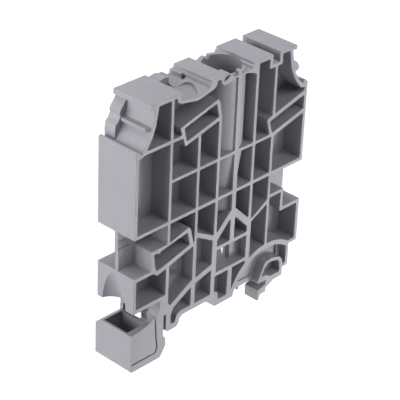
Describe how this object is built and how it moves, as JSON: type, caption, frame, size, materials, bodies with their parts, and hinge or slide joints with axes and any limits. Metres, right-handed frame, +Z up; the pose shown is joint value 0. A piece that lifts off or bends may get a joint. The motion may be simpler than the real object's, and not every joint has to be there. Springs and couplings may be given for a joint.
{
  "type": "din rail end stop",
  "caption": "Clip-on end stop for a top-hat rail: a ribbed plastic block with a fixed hook and a sprung foot below, marker pads and a round socket on top.",
  "frame": {"origin": "middle of the rail seat: on the top plane of the rail's flanges, halfway across the rail and halfway through the thickness", "axes": "+Z up, away from the rail; Y along the rail; -X towards the spring foot, +X towards the fixed hook"},
  "size_m": [0.0567, 0.0118, 0.0673],
  "materials": {
    "body": "satin"
  },
  "bodies": {
    "root": {"end_stop": "body"}
  },
  "joints": []
}
